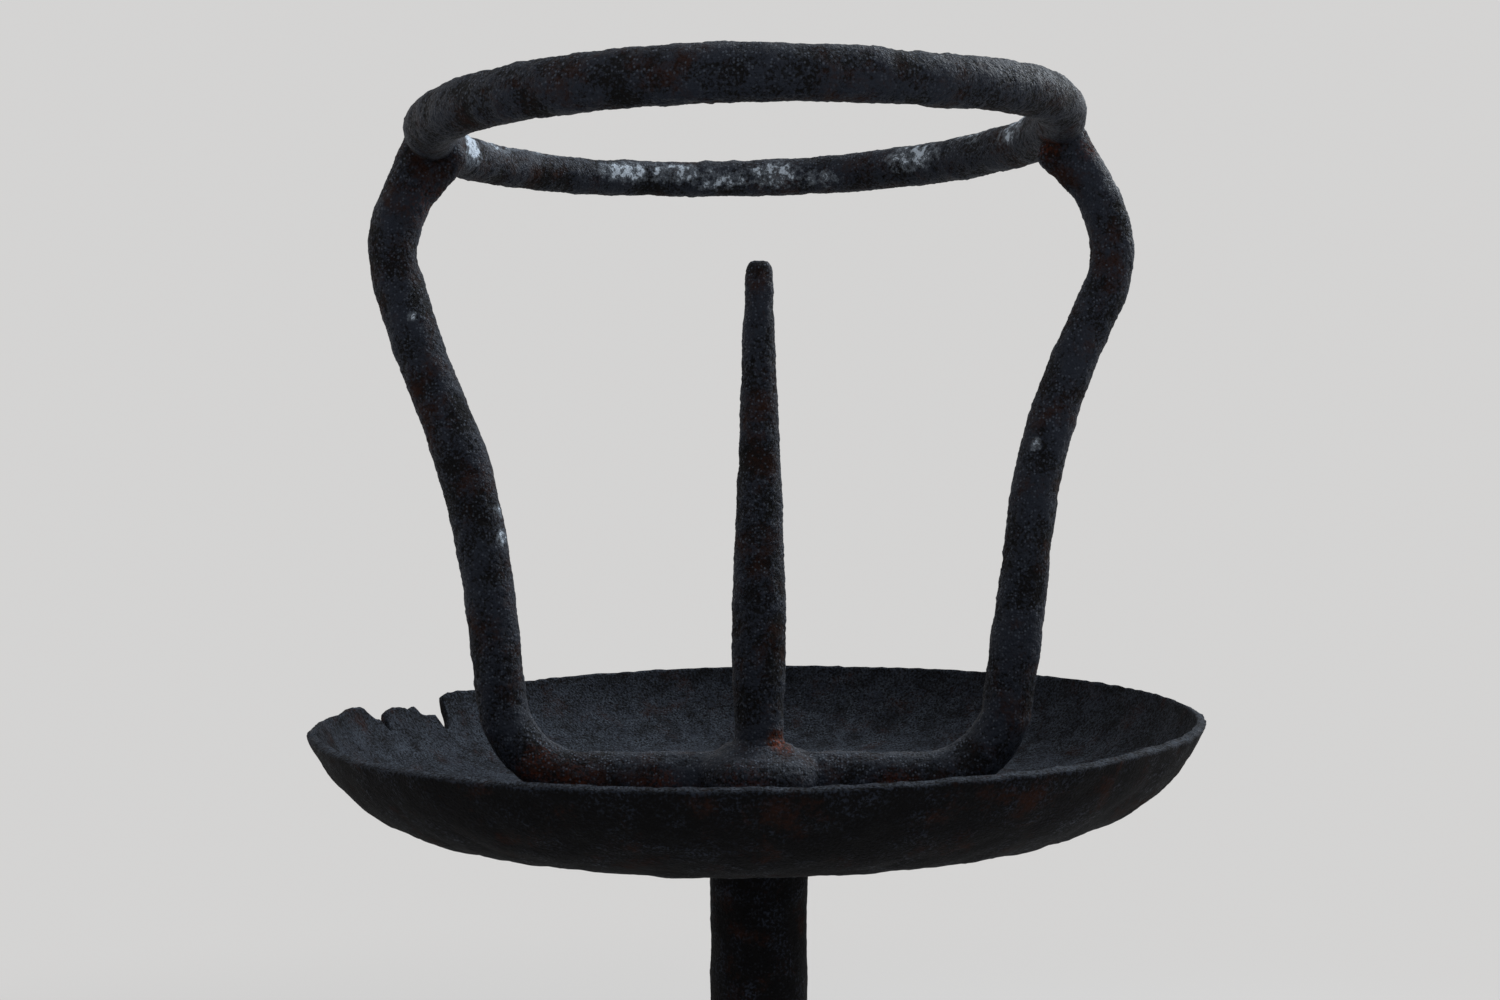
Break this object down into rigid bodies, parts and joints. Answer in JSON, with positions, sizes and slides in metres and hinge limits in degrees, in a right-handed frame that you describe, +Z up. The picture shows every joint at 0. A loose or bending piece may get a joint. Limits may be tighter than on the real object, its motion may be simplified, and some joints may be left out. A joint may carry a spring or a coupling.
{
  "type": "pricket candlestick",
  "caption": "Wrought-iron pricket candlestick: tapered spike in a dished drip pan, bent bar cage with a hoop round the candle, round stem on a riveted tripod.",
  "frame": {"origin": "on the ground, under the axis of the stem and the spike", "axes": "+Z up along the stem; +X to the right along the cage's bar; +Y away from the viewer, so the front leg points along -Y"},
  "size_m": [0.2196, 0.1964, 0.3984],
  "materials": {
    "black_iron": "hammered wrought iron with fire scale, nearly black",
    "sheet_iron": "thin hammered sheet iron, dark, with rust and dust in the dish",
    "rubbed_iron": "corroded wrought iron rubbed to a dull blue-grey, with brown rust and wax residue"
  },
  "bodies": {
    "root": {"stem": "black_iron", "drip_pan": "sheet_iron", "candle_cage": "rubbed_iron", "candle_hoop": "rubbed_iron", "spike": "rubbed_iron", "tang_pin": "black_iron", "leg_front": "black_iron", "leg_right": "black_iron", "leg_left": "black_iron", "lower_collar": "black_iron", "upper_collar": "black_iron", "leg_rivets": "rubbed_iron"}
  },
  "joints": []
}
